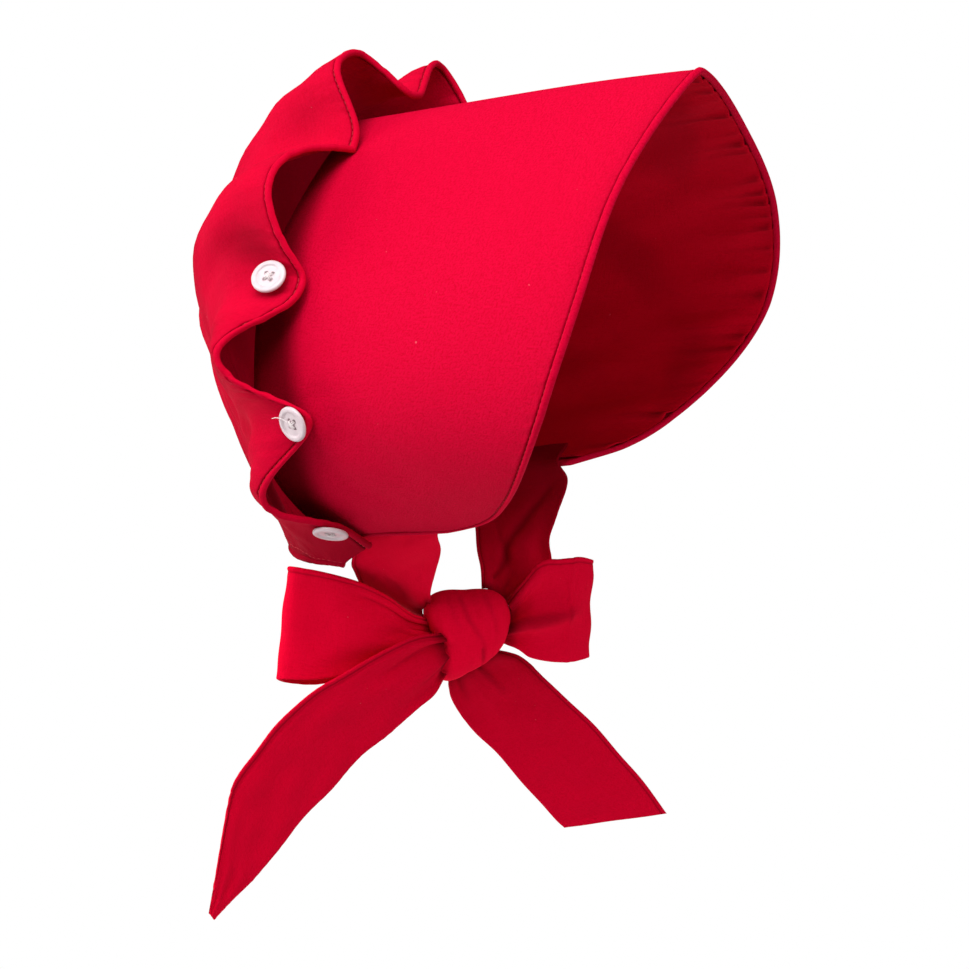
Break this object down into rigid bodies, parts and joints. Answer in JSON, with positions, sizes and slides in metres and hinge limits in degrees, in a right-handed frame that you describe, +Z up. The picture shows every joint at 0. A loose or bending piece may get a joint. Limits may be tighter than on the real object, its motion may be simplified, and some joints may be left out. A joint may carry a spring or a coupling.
{
  "type": "sun bonnet",
  "caption": "Red cloth bonnet with a wide flared brim, a gathered crown whose wavy hem is buttoned to the brim, and wide ties in a bow.",
  "frame": {"origin": "inside the top of the bonnet above the seam, where the top of the head touches", "axes": "+X to the wearer's left, -Y to the front where the face opening is, +Z up"},
  "size_m": [0.2575, 0.2654, 0.4229],
  "materials": {
    "red_cloth": "matte plain-weave cotton",
    "lining_cloth": "matte plain-weave cotton, deep red",
    "button_white": "white, satin gloss"
  },
  "bodies": {
    "root": {"brim_outer": "red_cloth", "crown": "red_cloth", "tie_strap_right": "red_cloth", "tie_strap_left": "red_cloth", "bow_knot": "red_cloth", "bow_loop_right": "red_cloth", "bow_loop_left": "red_cloth", "bow_tail_right": "red_cloth", "bow_tail_left": "red_cloth", "brim_lining": "lining_cloth", "button_upper_right": "button_white", "button_middle_right": "button_white", "button_lower_right": "button_white", "button_upper_left": "button_white", "button_middle_left": "button_white", "button_lower_left": "button_white"}
  },
  "joints": []
}
